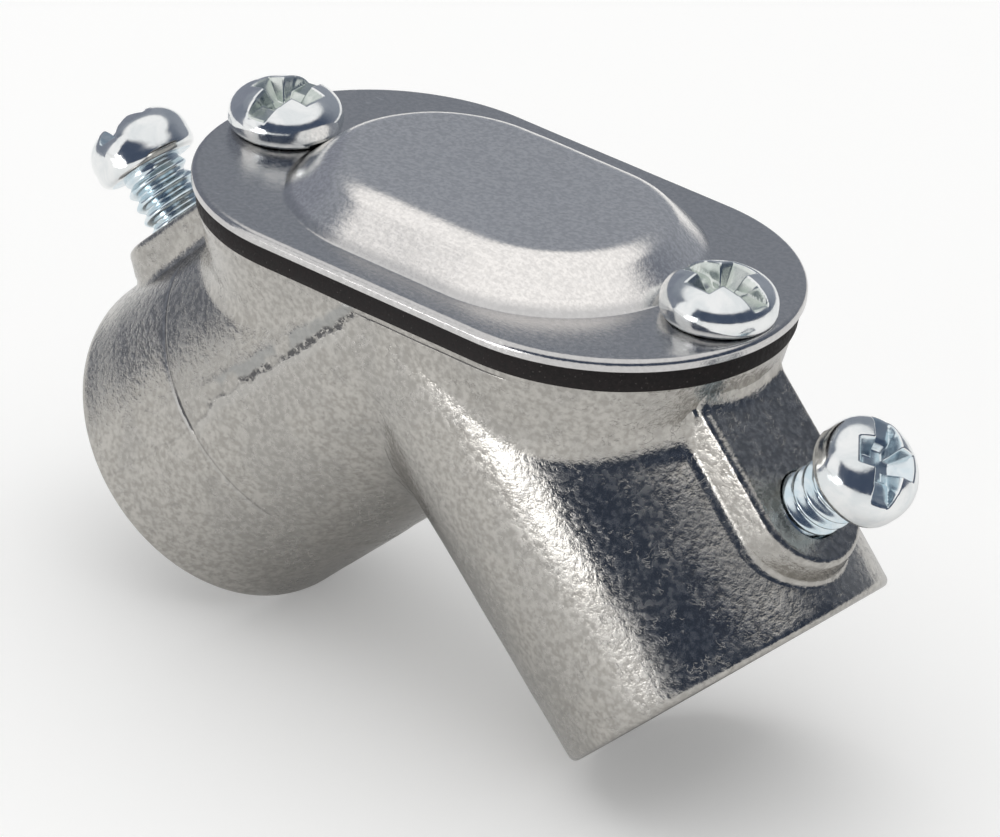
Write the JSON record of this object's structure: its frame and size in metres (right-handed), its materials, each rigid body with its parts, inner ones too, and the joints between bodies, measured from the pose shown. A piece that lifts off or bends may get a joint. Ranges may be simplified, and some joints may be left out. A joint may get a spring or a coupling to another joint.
{
  "type": "conduit body elbow with gasketed cover",
  "caption": "Right-angle pull elbow for half-inch conduit: cast body with two set-screw sockets under a gasketed, domed oval cover.",
  "frame": {"origin": "middle of the part in plan, level with the lowest points of the two socket mouths", "axes": "+Z is the normal of the cover, +X runs along the cover towards the right socket, and the two socket axes lie in the XZ plane at 45 degrees below X"},
  "size_m": [0.0708, 0.0272, 0.037],
  "materials": {
    "cast_zinc": "as-cast zinc alloy, satin and finely mottled",
    "gasket_rubber": "matte black rubber sheet",
    "pressed_steel": "pressed sheet, finely scratched, bright rounded edge",
    "plated_steel": "bright zinc plating with a bluish tint"
  },
  "bodies": {
    "housing": {"body": "cast_zinc", "gasket": "gasket_rubber"},
    "lid": {"cover": "pressed_steel"},
    "left_cover_screw": {"cover_screw_left": "plated_steel"},
    "right_cover_screw": {"cover_screw_right": "plated_steel"},
    "left_set_screw": {"set_screw_left": "plated_steel"},
    "right_set_screw": {"set_screw_right": "plated_steel"}
  },
  "joints": [
    {"name": "cover_lift", "type": "slide", "parent": "housing", "child": "lid", "axis": [0, 0, 1], "range_m": [0, 0.00357]},
    {"name": "left_cover_screw_turn", "type": "hinge", "parent": "lid", "child": "left_cover_screw", "pos_m": [-0.019, 0, 0.03405], "axis": [0, 0, 1], "range_deg": [0, 1621]},
    {"name": "right_cover_screw_turn", "type": "hinge", "parent": "lid", "child": "right_cover_screw", "pos_m": [0.019, 0, 0.03405], "axis": [0, 0, 1], "range_deg": [0, 1621]},
    {"name": "right_set_screw_travel", "type": "slide", "parent": "housing", "child": "right_set_screw", "axis": [0.7071, 0, 0.7071], "range_m": [-0.0042, 0.0033]},
    {"name": "left_set_screw_travel", "type": "slide", "parent": "housing", "child": "left_set_screw", "axis": [-0.7071, 0, 0.7071], "range_m": [-0.0042, 0.0033]}
  ],
  "couplings": [
    {"joint": "left_cover_screw_turn", "follows": "cover_lift", "rad_per_m": 7913.3},
    {"joint": "right_cover_screw_turn", "follows": "cover_lift", "rad_per_m": 7913.3}
  ]
}
